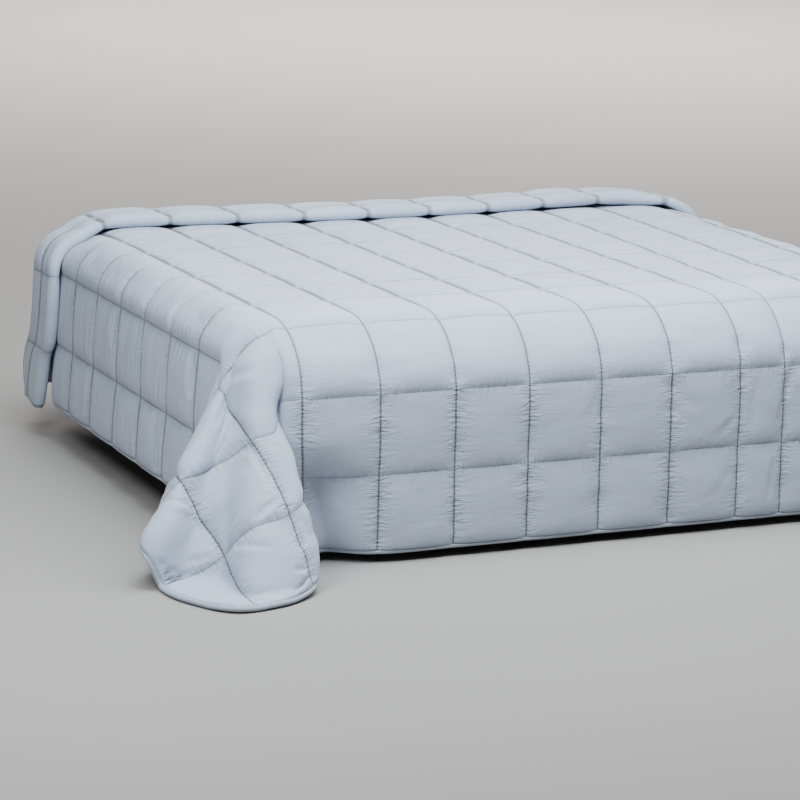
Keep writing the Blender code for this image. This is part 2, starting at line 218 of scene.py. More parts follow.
# Stage: lights, floor and camera
WHITE = (1.0, 1.0, 1.0)
COOL_WHITE = (0.88, 0.96, 1.0)
LIGHTS = (
    # name, kind, colour, power, size (degrees for a sun), place, aim
    ("wide light from above", "SUN", COOL_WHITE, 2.5, 36.0,
     (0.0, 0.0, 5.0), (0.0, 0.26, 3.5)),
    ("panel above the bed", "AREA", COOL_WHITE, 108.0, 2.7,
     (0.1, -0.90, 2.2), (0.1, -0.50, 0.6)),
    ("light on the near corner", "AREA", COOL_WHITE, 46.0, 0.9,
     (-2.2, -1.7, 1.90), (-1.0, -0.85, 0.55)),
    ("light on the floor behind", "AREA", WHITE, 3000.0, 12.0,
     (6.0, 12.0, 6.0), (6.0, 12.0, 0.0)),
)
SKY_STRENGTH = 0.07
FLOOR_SIZE = 60.0
CAMERA_PLACE = (-3.3687, -6.853, 1.8751)
CAMERA_TURN = (77.303, -1.612, -24.423)    # degrees
CAMERA_LENS = 126.0                        # millimetres, on a sensor 36 wide


# ---------------------------------------------------------------- drape
def level_ends(t):
    """Bend a rise from 0 to 1 so that it starts and ends level."""
    return t * t * (3.0 - 2.0 * t)


def smooth(low, high, value):
    """Rise from 0 at low to 1 at high with level ends."""
    return level_ends(min(max((value - low) / (high - low), 0.0), 1.0))


def ease(low, high, values):
    """The same rise for an array."""
    return level_ends(np.clip((values - low) / (high - low), 0.0, 1.0))


def read_table(table, column, key):
    """Read one column of a table between its rows with a smooth curve."""
    last = len(table) - 2
    row = 0
    while row < last and key > table[row + 1][0]:
        row += 1
    before = table[max(row - 1, 0)]
    start = table[row]
    end = table[row + 1]
    after = table[min(row + 2, last + 1)]
    width = end[0] - start[0]
    t = min(max((key - start[0]) / width, 0.0), 1.0)
    rise = end[column] - start[column]
    slope_in = width * (end[column] - before[column]) / (end[0] - before[0])
    slope_out = width * (after[column] - start[column]) / (after[0] - start[0])
    return (start[column] + rise * level_ends(t)
            + slope_in * t * (1.0 - t) ** 2 - slope_out * t * t * (1.0 - t))


def over_edge(length, radius, lean):
    """Reach, drop and turned angle of cloth that runs over an edge."""
    turn = math.pi / 2.0 - lean
    bend = radius + NEUTRAL
    angle = min(length / bend, turn)
    straight = length - bend * angle
    reach = radius * math.sin(angle) + straight * math.sin(lean)
    drop = radius * (1.0 - math.cos(angle)) + straight * math.cos(lean)
    return reach, drop, angle


def fan_reach(facing, side_reach, near_reach):
    """Distance from the top corner of the flat to the rounded bed outline."""
    across = side_reach / max(math.cos(facing), 1e-6)
    along = near_reach / max(math.sin(facing), 1e-6)
    return (across ** -BED_SQUARENESS + along ** -BED_SQUARENESS) ** (-1.0 / BED_SQUARENESS)


def to_floor(length, radius, lean, height):
    """Reach and drop of a fan ray that may bend out and lie on the floor."""
    turn = math.pi / 2.0 - lean
    reach, drop, _ = over_edge(length, radius, lean)
    free = (height - LYING_BEND * (1.0 - math.sin(lean))
            - radius * (1.0 - math.cos(turn))) / math.cos(lean)
    past = length - (radius + NEUTRAL) * turn - free
    if past <= 0.0:
        return reach, drop
    reach, drop, _ = over_edge(length - past, radius, lean)
    angle = lean + min(past / LYING_BEND, turn)
    reach += LYING_BEND * (math.cos(lean) - math.cos(angle))
    drop += LYING_BEND * (math.sin(angle) - math.sin(lean))
    reach += max(past - LYING_BEND * turn, 0.0)
    return reach, drop


SIDE_RADIUS = MATTRESS_LENGTH / 2.0 + EDGE_GAP + SEAM_0_X + FLAT_LEFT * SQUARE
NEAR_RADIUS = MATTRESS_WIDTH / 2.0 + EDGE_GAP + SEAM_0_Y + FLAT_NEAR * SQUARE


def drape(u, v, lift):
    """Place a cloth point: its position lift metres above the bottom layer."""
    u -= PULL * smooth(PULL_FROM_U, PULL_FULL_U, u) * smooth(PULL_FROM_V, PULL_FULL_V, v)
    x = SEAM_0_X + u * SQUARE
    y = SEAM_0_Y + v * SQUARE
    z = MATTRESS_TOP + SEAT_GAP
    side = -1.0 if u < FLAT_LEFT else 1.0
    flat_side = FLAT_LEFT if side < 0.0 else FLAT_RIGHT
    past_side = max(side * (u - flat_side), 0.0) * SQUARE
    past_side += 0.5 * lift * smooth(0.0, LAYER_DROP_BLEND * SQUARE, past_side)
    past_near = max(FLAT_NEAR - v, 0.0) * SQUARE
    corner_x = SEAM_0_X + flat_side * SQUARE
    corner_y = SEAM_0_Y + FLAT_NEAR * SQUARE
    if past_side > 0.0 and past_near > 0.0:
        return drape_corner(past_side, past_near, side, corner_x, corner_y, z)
    if past_side > 0.0:
        reach, drop, angle = over_edge(past_side, SIDE_RADIUS, SIDE_LEAN)
        lift -= left_sag(u, v)
        return (corner_x + side * (reach + lift * math.sin(angle)), y,
                z - drop + lift * math.cos(angle))
    if past_near > 0.0:
        reach, drop, angle = over_edge(past_near, NEAR_RADIUS, NEAR_LEAN)
        return (x, corner_y - reach - lift * math.sin(angle),
                z - drop + lift * math.cos(angle))
    return (x, y, z + lift - left_sag(u, v))


def left_sag(u, v):
    """How far the folded far strip sinks onto the rolled left edge of the bed."""
    past = (FLAT_LEFT - u) * SQUARE
    return (LEFT_SAG * smooth(LEFT_SAG_FROM_V, LEFT_SAG_FULL_V, v)
            * math.exp(-((past - LEFT_SAG_AT) / LEFT_SAG_WIDTH) ** 2))


def drape_corner(past_side, past_near, side, corner_x, corner_y, z):
    """Place a cloth point in the cone of spare cloth at a near corner."""
    length = math.hypot(past_side, past_near)
    in_cloth = math.atan2(past_near, past_side)
    facing = math.radians(read_table(CORNER_FAN, 1, math.degrees(in_cloth)))
    lean = math.radians(read_table(CORNER_FAN, 2, math.degrees(in_cloth)))
    radius = fan_reach(facing, SIDE_RADIUS, NEAR_RADIUS)
    ends = math.degrees(min(in_cloth, math.pi / 2.0 - in_cloth))
    spare = smooth(0.0, FAN_SPARE_FROM, ends)
    slump = SLUMP * spare
    near_top = smooth(0.0, SLUMP_BLEND * SQUARE, length)
    length += NEUTRAL * (math.pi / 2.0 - lean) * spare * near_top
    reach, drop = to_floor(length, radius, lean, z - slump - LYING_HEIGHT)
    drop += slump * smooth(0.0, SLUMP_BLEND * SQUARE, length)
    blend = smooth(0.0, FAN_BLEND * SQUARE, length)
    heading = in_cloth + (facing - in_cloth) * blend
    return (corner_x + side * reach * math.cos(heading),
            corner_y - reach * math.sin(heading),
            z - drop)


def round_corner(u, v):
    """Pull a flat point in where the blanket's own corners are round."""
    side = -1.0 if u < FLAT_LEFT else 1.0
    end = -1.0 if v < FLAT_NEAR else 1.0
    hem_u = HEM_LEFT if side < 0.0 else HEM_RIGHT
    hem_v = HEM_NEAR if end < 0.0 else HEM_FAR
    a = 1.0 - abs(hem_u - u) / CORNER_ROUND
    b = 1.0 - abs(hem_v - v) / CORNER_ROUND
    if a <= 0.0 or b <= 0.0:
        return u, v
    round_a = a * math.sqrt(1.0 - b * b / 2.0)
    round_b = b * math.sqrt(1.0 - a * a / 2.0)
    return u - side * (a - round_a) * CORNER_ROUND, v - end * (b - round_b) * CORNER_ROUND


def cloth_lines(low, high, fine_to=-9.0):
    """Mesh lines from low to high, close together beside every seam and below fine_to."""
    lines = [low, low + 0.02, high - 0.02, high]
    for square in range(math.floor(low), math.ceil(high)):
        parts = FINE_LINES if square < fine_to else SQUARE_LINES
        lines += [square + part for part in parts if low + 0.03 < square + part < high - 0.03]
    return sorted(lines)


def blanket_rows(u):
    """Rows of the cloth along one line: cloth place, bed place, lift, share of puff."""
    front = read_table(PLEAT_LINE, 1, u)
    opening = read_table(PLEAT_LINE, 2, u)
    climb = CORNER_DRIFT * smooth(CORNER_DRIFT_FROM_U, CORNER_DRIFT_FULL_U, u)
    rows = []
    for v in cloth_lines(HEM_NEAR, LOWER_LAYER_END, 1.0):
        climb_here = max(1.0 - (v if v > 0.0 else v / HEM_NEAR), 0.0)
        place = v + read_table(SEAM_DRIFT, 1, v) + climb * climb_here
        sink = opening * read_table(PLEAT_MOUTH, 1, v) if v > PLEAT_MOUTH[0][0] else 0.0
        share = 1.0 - (1.0 - HIDDEN_PUFF) * smooth(front - 0.06, front + 0.12, v)
        rows.append((v, place, -sink, share))
    rear = (PLEAT_CLOTH + front) / 2.0
    rear_bend = PLEAT_REAR_BEND / SQUARE
    front_bend = PLEAT_FRONT_BEND / SQUARE
    middle_lift = 2.0 * PLEAT_REAR_BEND
    top_lift = middle_lift + 2.0 * PLEAT_FRONT_BEND
    for step in range(REAR_STEPS + 1):
        angle = math.pi * step / REAR_STEPS
        place = rear - rear_bend + rear_bend * math.sin(angle)
        lift = PLEAT_REAR_BEND * (1.0 - math.cos(angle)) - opening * (1.0 + math.cos(angle)) / 2.0
        rows.append((INSIDE_FOLD, place, lift, HIDDEN_PUFF))
    middle = (rear - rear_bend + front + front_bend) / 2.0
    rows.append((INSIDE_FOLD, middle, middle_lift, HIDDEN_PUFF))
    rows.append((INSIDE_FOLD, front + 0.25, middle_lift, HIDDEN_PUFF))
    for step in range(FRONT_STEPS + 1):
        angle = math.pi * step / FRONT_STEPS
        place = front + front_bend - front_bend * math.sin(angle)
        lift = middle_lift + PLEAT_FRONT_BEND * (1.0 - math.cos(angle))
        share = HIDDEN_PUFF + (1.0 - HIDDEN_PUFF) * step / FRONT_STEPS
        rows.append((PLEAT_CLOTH, place, lift, share))
    for cloth in cloth_lines(PLEAT_CLOTH, HEM_FAR)[1:]:
        rows.append((cloth, front + cloth - PLEAT_CLOTH, top_lift, 1.0))
    return rows


def pillow(places, seams):
    """Rise of the filling, 0 on a seam to 1 in the middle of a full square."""
    distance = np.min(np.abs(places[..., None] - np.array(seams)), axis=-1)
    near_middle = np.clip(distance / 0.5, 0.0, 1.0)
    return (1.0 - (1.0 - near_middle) ** 3) ** 0.75


def settle(places, share):
    """Move the crown of the filling towards the bottom of the squares that hang."""
    part = places - np.floor(places)
    crown = 0.5 - 0.17 * share
    moved = np.where(part < crown, 0.5 * part / crown, 0.5 + 0.5 * (part - crown) / (1.0 - crown))
    return np.floor(places) + moved


def ripple(x, y, seed):
    """Smooth random waves from -1 to 1, the same on every run."""
    column = np.floor(x).astype(np.int64)
    row = np.floor(y).astype(np.int64)

    def knot(a, b):
        mixed = (a * 374761393 + b * 668265263 + seed * 1442695041) & 0xFFFFFFFF
        mixed = ((mixed ^ (mixed >> 13)) * 1274126177) & 0xFFFFFFFF
        return ((mixed ^ (mixed >> 16)) & 0xFFFF) / 32767.5 - 1.0

    s = level_ends(x - column)
    t = level_ends(y - row)
    low = knot(column, row) * (1.0 - s) + knot(column + 1, row) * s
    high = knot(column, row + 1) * (1.0 - s) + knot(column + 1, row + 1) * s
    return low * (1.0 - t) + high * t


def new_object(name, data):
    """An object in the scene."""
    made = bpy.data.objects.new(name, data)
    bpy.context.scene.collection.objects.link(made)
    return made


def new_piece(shape, name, look):
    """Turn a bmesh into an object with one material."""
    mesh = bpy.data.meshes.new(name)
    shape.to_mesh(mesh)
    shape.free()
    mesh.materials.append(look)
    return new_object(name, mesh)


def smooth_piece(shape, name, look, flat=()):
    """Turn a closed bmesh into a smooth piece, with the faces in flat left flat."""
    bmesh.ops.recalc_face_normals(shape, faces=shape.faces)
    for face in shape.faces:
        face.smooth = face not in flat
    return new_piece(shape, name, look)


def soften(grid, rounds):
    """Average each inner point of a grid with its neighbours."""
    for _ in range(rounds):
        inner = (grid[:-2, 1:-1] + grid[2:, 1:-1] + grid[1:-1, :-2] + grid[1:-1, 2:]) / 4.0
        grid[1:-1, 1:-1] = (grid[1:-1, 1:-1] + inner) / 2.0
    return grid


def unit(vectors):
    """The same directions with a length of one."""
    return vectors / np.maximum(np.linalg.norm(vectors, axis=-1, keepdims=True), 1e-9)


# ---------------------------------------------------------------- blanket
# Deeper creases in the cloth: from (u, v) to (u, v), half width in squares,
# depth in metres (negative stands up as a ridge)
CREASES = (
    # u, v, u, v, half width, depth
    (-0.05, 2.13, -0.62, 2.12, 0.050, 0.012),
    (0.75, 3.06, 0.10, 3.08, 0.050, 0.009),
    (0.05, 3.90, -0.45, 3.88, 0.040, 0.006),
    (0.70, 4.05, 0.15, 4.07, 0.050, 0.007),
    (-0.10, 5.12, -0.60, 5.13, 0.040, 0.006),
    (-0.95, 4.60, -1.50, 4.62, 0.035, 0.004),
    (0.60, 5.70, 0.05, 5.72, 0.035, 0.005),
    (0.12, 0.98, 0.50, 1.00, 0.040, 0.004),
    (0.14, 0.88, 0.42, 0.68, 0.035, 0.006),
    (0.02, 0.46, -0.42, 0.10, 0.026, 0.008),
    (0.06, 0.82, -0.30, 0.58, 0.035, 0.006),
    (0.78, 0.30, 0.80, -0.05, 0.045, 0.012),
    (0.55, -0.10, 0.50, -0.55, 0.040, 0.007),
    (0.66, 0.10, 0.30, -0.02, 0.035, 0.005),
    (-0.04, -0.10, -0.10, -0.65, 0.026, 0.006),
    (0.22, -0.15, 0.08, -0.80, 0.035, 0.006),
    (-0.90, -0.93, -0.60, -0.76, 0.026, 0.007),
    (-0.40, -0.92, -0.12, -0.78, 0.026, 0.006),
    (-0.80, -1.06, -0.45, -1.30, 0.030, 0.005),
    (-1.86, -0.86, -1.50, -0.965, 0.024, 0.014),
    (-1.84, -0.78, -1.58, -0.86, 0.022, 0.010),
    (-1.84, -0.70, -1.70, -0.74, 0.022, 0.007),
    (-1.44, -0.84, -1.12, -0.93, 0.022, 0.006),
    (-1.35, -0.10, -1.05, -0.30, 0.030, 0.006),
    (-1.05, 0.10, -1.35, 0.35, 0.030, 0.006),
    (-1.65, -1.82, -1.05, -1.87, 0.022, 0.010),
    (-1.02, -1.70, -0.76, -1.76, 0.024, 0.007),
    (-0.40, -1.88, -0.02, -1.82, 0.024, 0.011),
    (-0.30, -1.62, -0.06, -1.72, 0.026, 0.007),
    (0.12, -1.10, 0.20, -1.60, 0.030, 0.006),
    (4.95, -0.10, 4.82, -0.50, 0.045, 0.002),
    (6.10, -0.25, 6.35, -0.50, 0.050, 0.002),
    (6.92, -0.60, 6.66, -0.84, 0.045, 0.003),
    (6.85, -1.30, 6.60, -1.70, 0.050, 0.002),
    (7.30, -0.15, 7.20, -0.80, 0.080, 0.003),
    (7.80, -1.20, 7.65, -1.75, 0.060, 0.003),
    (8.20, 0.10, 7.85, -0.75, 0.060, 0.004),
)


def crease_depth(u, v):
    """How deep the table's creases lie at each point."""
    depth = np.zeros_like(u)
    for from_u, from_v, to_u, to_v, width, deep in CREASES:
        run_u, run_v = to_u - from_u, to_v - from_v
        length = math.hypot(run_u, run_v)
        along = ((u - from_u) * run_u + (v - from_v) * run_v) / length
        aside = ((u - from_u) * run_v - (v - from_v) * run_u) / length
        part = np.clip(along / length, 0.0, 1.0)
        past = along - part * length
        ends = np.clip(4.0 * part * (1.0 - part), 0.0, 1.0) ** 0.5
        trough = np.exp(-(aside ** 2 + past ** 2) / width ** 2)
        ridge = np.exp(-((aside - 1.9 * width) ** 2 + past ** 2) / (1.3 * width) ** 2)
        depth += deep * ends * (trough - 0.5 * ridge)
    return depth


def bell(values, middle, width):
    """A smooth bump of height one round the middle."""
    return np.exp(-((values - middle) / width) ** 2)


def valley(u, v):
    """How far the hanging front folds back beside the near left cone."""
    middle = 1.10 - 0.10 * v
    width = np.where(u < middle, 0.22, 0.45)
    return VALLEY_DEPTH * ease(-0.50, -1.3, v) * bell(u, middle, width)


def tuck(u, v):
    """How far the right flank of the near left cone is drawn in."""
    return TUCK_DEPTH * ease(0.50, 0.05, v) * ease(-1.95, -0.9, v) * bell(u, 0.58, 0.22)


def groove(u, v):
    """The narrow grooves between the near cones and the hanging front, from 0 to 1."""
    return (bell(u, 0.62, 0.24) + bell(u, 10.28, 0.20)) * ease(0.9, 0.4, v)


def wrinkle(u, v, normal):
    """Small waves of the cover: across the top, down the sides, round the seams."""
    lies = ease(0.55, 0.9, normal[..., 2])
    side = ease(0.5, 0.85, np.abs(normal[..., 0])) * (1.0 - lies)
    front = ease(0.5, 0.9, -normal[..., 1]) * (1.0 - lies)
    cone = ease(1.2, 0.8, v) * np.maximum(ease(1.0, 0.5, u), ease(9.8, 10.3, u))
    beside_long = np.abs(u - np.round(u))
    beside_cross = np.abs(v - np.round(v))
    top = 0.0036 * ripple(u * 0.9 + v * 0.3, v * 3.6, 1) + 0.0020 * ripple(u * 1.9, v * 7.5, 2)
    streaks = 0.0042 * ripple(u * 0.7, v * 4.4, 3) + 0.0018 * ripple(u * 1.1, v * 8.5, 4)
    plain = 0.0016 * ripple(u * 2.3, v * 2.1, 5) + 0.0007 * ripple(u * 5.0, v * 4.6, 6)
    folds = (0.0026 * ripple(u * 1.6 + v * 1.2, v * 0.7 - u * 0.5, 7)
             + 0.0012 * ripple(u * 4.5, v * 4.5, 8))
    pulls_long = 0.0022 * ripple(u * 2.0, v * 6.5, 9) * np.exp(-beside_long / 0.16)
    pulls_cross = 0.0016 * ripple(u * 6.5, v * 2.0, 10) * np.exp(-beside_cross / 0.13)
    waves = lies * top * np.minimum(beside_long * 6.0, 1.0)
    waves += side * streaks + front * plain + cone * folds
    pulls = (front + cone) * pulls_long + (0.5 * front + 0.6 * cone + 0.3 * side) * pulls_cross
    return waves, pulls


def under_face():
    """Under face of the blanket, its cloth places and its shares of puff, as grids."""
    under = []
    places = []
    shares = []
    for u in cloth_lines(HEM_LEFT, HEM_RIGHT, 1.0):
        rows = blanket_rows(u)
        line = []
        for cloth, place, lift, _ in rows:
            flat_u, flat_cloth = round_corner(u, cloth)
            line.append(drape(flat_u, place + flat_cloth - cloth, lift))
        under.append(line)
        places.append([(u, cloth) for cloth, _, _, _ in rows])
        shares.append([share for _, _, _, share in rows])
    under, places, shares = np.array(under), np.array(places), np.array(shares)
    u, v = places[..., 0], places[..., 1]
    under += valley(u, v)[..., None] * np.array((0.35, 1.0, 0.0))
    under += tuck(u, v)[..., None] * np.array((-0.6, 1.0, 0.0))
    return under, places, shares


def filling(u, v, normal, shares, on_strip):
    """Thickness of the filled squares, and their rise both ways across a square."""
    long_seams = [HEM_LEFT, HEM_RIGHT] + list(range(-1, 13))
    cross_seams = [HEM_NEAR, HEM_FAR] + list(range(-1, 11))
    front = ease(0.3, 0.8, -normal[..., 1])
    across = pillow(settle(u, ease(0.3, 0.8, -normal[..., 0])), long_seams)
    along = pillow(settle(v, front), cross_seams)
    lies = ease(0.6, 0.95, normal[..., 2])
    along = 1.0 - (1.0 - along) * (1.0 - 0.35 * lies - 0.30 * front)
    along = np.where(on_strip, 0.45 + 0.55 * along, along)
    across = np.where(on_strip & (u < 0.5), 0.55 + 0.45 * across, across)
    hangs = 1.0 + HANGING_PUFF * ease(0.75, 0.3, normal[..., 2]) * ease(7.2, 6.6, v)
    thickness = CHANNEL + (PUFF - CHANNEL) * across * along * shares * hangs
    thickness *= 1.0 - 0.20 * ease(0.80, 0.55, shares)
    thickness *= 1.0 - GROOVE_THINNING * groove(u, v)
    return thickness, across, along


def fine_cloth():
    """Under face, outer skin, directions and cloth places of the blanket, as grids."""
    under, places, shares = under_face()
    u, v = places[..., 0], places[..., 1]
    facing = unit(np.cross(np.gradient(under, axis=0), np.gradient(under, axis=1)))
    normal = unit(soften(facing, 4))
    on_strip = v > PLEAT_CLOTH - 1e-6
    thickness, across, along = filling(u, v, normal, shares, on_strip)
    waves, pulls = wrinkle(u, v, normal)
    pulls -= crease_depth(u, v)
    from_hem = np.minimum.reduce([u - HEM_LEFT, HEM_RIGHT - u, v - HEM_NEAR, HEM_FAR - v])
    visible = (1.0 - 0.8 * groove(u, v)) * ease(0.55, 0.9, shares)
    visible *= 1.0 - ease(6.9, 7.4, v) * ~on_strip
    relief = waves * (0.25 + 0.75 * across * along) + pulls
    thickness += relief * ease(0.0, 0.10, from_hem) * visible
    outer = under + normal * np.maximum(thickness, THINNEST)[..., None]
    outer[..., 2] = np.maximum(outer[..., 2], OUTER_CLEARANCE)
    under[..., 2] = np.maximum(under[..., 2], UNDER_CLEARANCE)
    return under, outer, normal, places


def grid_faces(shape, ids, flip):
    """Quads over a grid of vertices."""
    for left, right in zip(ids, ids[1:]):
        for row in range(len(left) - 1):
            quad = (left[row], right[row], right[row + 1], left[row + 1])
            shape.faces.new(tuple(reversed(quad)) if flip else quad)


def rim_ring(ids):
    """The outline of a grid of vertices, in order."""
    ring = [column[0] for column in ids[:-1]]
    ring += ids[-1][:-1]
    ring += [column[-1] for column in reversed(ids[1:])]
    ring += list(reversed(ids[0][1:]))
    return ring


def close_rim(shape, skin, back, twins):
    """Faces between the outline of the fine skin and that of the coarser back."""
    outer_ring = rim_ring(skin)
    under_ring = rim_ring(back)
    order = {vertex: index for index, vertex in enumerate(outer_ring)}
    starts = [order[vertex] for vertex in rim_ring(twins)]
    for index, vertex in enumerate(under_ring):
        following = (index + 1) % len(under_ring)
        start = starts[index]
        end = starts[following] or len(outer_ring)
        halfway = (start + end) // 2
        for step in range(start, end):
            corner = vertex if step < halfway else under_ring[following]
            shape.faces.new((corner, outer_ring[(step + 1) % len(outer_ring)], outer_ring[step]))
        shape.faces.new((vertex, under_ring[following], outer_ring[halfway % len(outer_ring)]))


def make_blanket(look):
    """The quilted blanket: a fine outer skin on a coarser under face."""
    under, outer, normal, places = fine_cloth()
    columns, rows = outer.shape[:2]
    keep_columns = sorted(set(range(0, columns, UNDER_EVERY)) | {columns - 1})
    keep_rows = sorted(set(range(0, rows, UNDER_EVERY)) | {rows - 1})
    shape = bmesh.new()
    cloth_map = shape.loops.layers.uv.new("cloth")
    skin = [[shape.verts.new(outer[a, b]) for b in range(rows)] for a in range(columns)]
    back = [[shape.verts.new(under[a, b]) for b in keep_rows] for a in keep_columns]
    twins = [[skin[a][b] for b in keep_rows] for a in keep_columns]
    spot = {skin[a][b]: places[a, b] for a in range(columns) for b in range(rows)}
    for a, line in zip(keep_columns, back):
        for b, vertex in zip(keep_rows, line):
            spot[vertex] = places[a, b]
    grid_faces(shape, skin, False)
    grid_faces(shape, back, True)
    close_rim(shape, skin, back, twins)
    for face in shape.faces:
        for loop in face.loops:
            loop[cloth_map].uv = spot[loop.vert]
    return smooth_piece(shape, "quilted_blanket", look), under, outer, normal, places


def tube(path, outwards, radius, sides, name, look):
    """A round tube along a closed path of points."""
    shape = bmesh.new()
    rings = []
    for index, point in enumerate(path):
        before = path[index - 1]
        after = path[(index + 1) % len(path)]
        along = Vector(after - before).normalized()
        side = Vector(outwards[index])
        side = (side - along * side.dot(along)).normalized()
        up = along.cross(side)
        ring = []
        for step in range(sides):
            angle = 2.0 * math.pi * step / sides
            arm = side * math.cos(angle) + up * math.sin(angle)
            ring.append(shape.verts.new(Vector(point) + arm * radius))
        rings.append(ring)
    for first, second in zip(rings, rings[1:] + rings[:1]):
        for step in range(sides):
            following = (step + 1) % sides
            shape.faces.new((first[step], first[following], second[following], second[step]))
    return smooth_piece(shape, name, look)


def even_path(points, others, spacing):
    """Points at an even spacing round a closed path, with a second list carried along."""
    both = np.hstack([points, others])
    both = np.vstack([both, both[:1]])
    steps = np.linalg.norm(np.diff(both[:, :3], axis=0), axis=1)
    run = np.concatenate([[0.0], np.cumsum(steps)])
    count = max(int(round(run[-1] / spacing)), 4)
    at = np.linspace(0.0, run[-1], count + 1)[:-1]
    even = np.stack([np.interp(at, run, column) for column in both.T], axis=1)
    return even[:, :3], even[:, 3:]


def smoothed(path, rounds):
    """Smooth a closed path a little."""
    for _ in range(rounds):
        path = (path + (np.roll(path, 1, axis=0) + np.roll(path, -1, axis=0)) / 2.0) / 2.0
    return path


def outward_of(path, facing):
    """Directions out of a closed path, square to it and to the facing directions."""
    along = np.roll(path, -1, axis=0) - np.roll(path, 1, axis=0)
    return unit(np.cross(along, facing))


def make_piping(under, outer, normal, look):
    """Piping round the whole hem."""
    columns, rows = outer.shape[:2]
    ring = rim_ring([[(a, b) for b in range(rows)] for a in range(columns)])
    points = [(under[place] + outer[place]) / 2.0 for place in ring]
    facing = [normal[place] for place in ring]
    points, facing = even_path(points, facing, PIPING_SPACING)
    points = smoothed(points, 2)
    outward = outward_of(points, smoothed(facing, 6))
    path = points + outward * PIPING_RADIUS * 0.9
    path[:, 2] = np.maximum(path[:, 2], PIPING_RADIUS + 0.0004)
    return tube(path, outward, PIPING_RADIUS, PIPING_SIDES, "hem_piping", look)


def seam_runs(outer, normal, places):
    """Visible stitched lines of the quilting, as lists of points."""
    lifted = outer + normal * STITCH_LIFT
    columns, rows = outer.shape[:2]
    cloth = places[0, :, 1]
    bottom = [b for b in range(rows) if cloth[b] < LOWER_LAYER_END + 0.01]
    top = [b for b in range(rows) if b > bottom[-1] and abs(cloth[b] - INSIDE_FOLD) > 1e-6]
    runs = []
    for a in range(columns):
        u = places[a, 0, 0]
        if abs(u - round(u)) > 1e-6:
            continue
        front = read_table(PLEAT_LINE, 1, u)
        runs.append([lifted[a, b] for b in bottom if cloth[b] < front])
        runs.append([lifted[a, b] for b in top])
    for b in range(rows):
        if abs(cloth[b] - round(cloth[b])) > 1e-6:
            continue
        run = []
        for a in range(columns):
            front = read_table(PLEAT_LINE, 1, places[a, b, 0])
            if cloth[b] > PLEAT_CLOTH or cloth[b] < front + 0.3:
                run.append(lifted[a, b])
        runs.append(run)
    runs.append([lifted[a, 1] for a in range(1, columns - 1)])
    for a in (1, columns - 2):
        runs.append([lifted[a, b] for b in bottom[1:] if cloth[b] < HEM_STITCHED_TO])
        runs.append([lifted[a, b] for b in top[:-1]])
    runs.append([lifted[a, rows - 2] for a in range(1, columns - 1)])
    return [run for run in runs if len(run) > 2]


def tree_socket(tree, name, kind, way="INPUT", value=None):
    """Add a named socket to a node tree and return it."""
    made = tree.interface.new_socket(name=name, in_out=way, socket_type=kind)
    if value is not None:
        made.default_value = value
    return made


def stitch_tree():
    """Geometry nodes that lay short stitches of thread along curves."""
    tree = bpy.data.node_groups.new("stitches along a seam", "GeometryNodeTree")
    tree_socket(tree, "Seams", "NodeSocketGeometry")
    tree_socket(tree, "Pitch", "NodeSocketFloat", value=STITCH_PITCH)
    tree_socket(tree, "Stitch size", "NodeSocketVector", value=STITCH_SIZE)
    tree_socket(tree, "Thread", "NodeSocketMaterial")
    tree_socket(tree, "Stitches", "NodeSocketGeometry", way="OUTPUT")
    add = tree.nodes.new
    given = add("NodeGroupInput").outputs
    result = add("NodeGroupOutput")
    spread = add("GeometryNodeCurveToPoints")
    spread.mode = "LENGTH"
    turn = add("FunctionNodeAlignRotationToVector")
    turn.axis = "Z"
    bead = add("GeometryNodeMeshUVSphere")
    for label, value in (("Segments", 5), ("Rings", 3), ("Radius", 1.0)):
        bead.inputs[label].default_value = value
    lay = add("GeometryNodeInstanceOnPoints")
    real = add("GeometryNodeRealizeInstances")
    finish = add("GeometryNodeSetMaterial")
    for start, end in (
            (given["Seams"], spread.inputs["Curve"]),
            (given["Pitch"], spread.inputs["Length"]),
            (spread.outputs["Tangent"], turn.inputs["Vector"]),
            (spread.outputs["Points"], lay.inputs["Points"]),
            (bead.outputs["Mesh"], lay.inputs["Instance"]),
            (turn.outputs["Rotation"], lay.inputs["Rotation"]),
            (given["Stitch size"], lay.inputs["Scale"]),
            (lay.outputs["Instances"], real.inputs["Geometry"]),
            (real.outputs["Geometry"], finish.inputs["Geometry"]),
            (given["Thread"], finish.inputs["Material"]),
            (finish.outputs["Geometry"], result.inputs["Stitches"]),
    ):
        tree.links.new(start, end)
    return tree


def make_stitches(runs, look):
    """Thread stitches along every seam that shows."""
    line = bpy.data.curves.new("seam lines", "CURVE")
    line.dimensions = "3D"
    for run in runs:
        spline = line.splines.new("POLY")
        spline.points.add(len(run) - 1)
        for point, place in zip(spline.points, run):
            point.co = (*place, 1.0)
    guide = new_object("seam_lines", line)
    tree = stitch_tree()
    modifier = guide.modifiers.new("stitches", "NODES")
    modifier.node_group = tree
    keys = {item.name: item.identifier
            for item in tree.interface.items_tree if item.in_out == "INPUT"}
    modifier[keys["Pitch"]] = STITCH_PITCH
    modifier[keys["Stitch size"]] = STITCH_SIZE
    modifier[keys["Thread"]] = look
    bpy.context.view_layer.update()
    result = guide.evaluated_get(bpy.context.evaluated_depsgraph_get())
    mesh = bpy.data.meshes.new_from_object(result)
    mesh.name = "quilting_stitches"
    bpy.data.objects.remove(guide, do_unlink=True)
    return new_object("quilting_stitches", mesh)


# ---------------------------------------------------------------- bed
def rolled_inset(radius, height):
    """How far a side lies in from its face at a height below the top."""
    rise = max(radius - height, 0.0)
    return radius - math.sqrt(radius * radius - rise * rise)


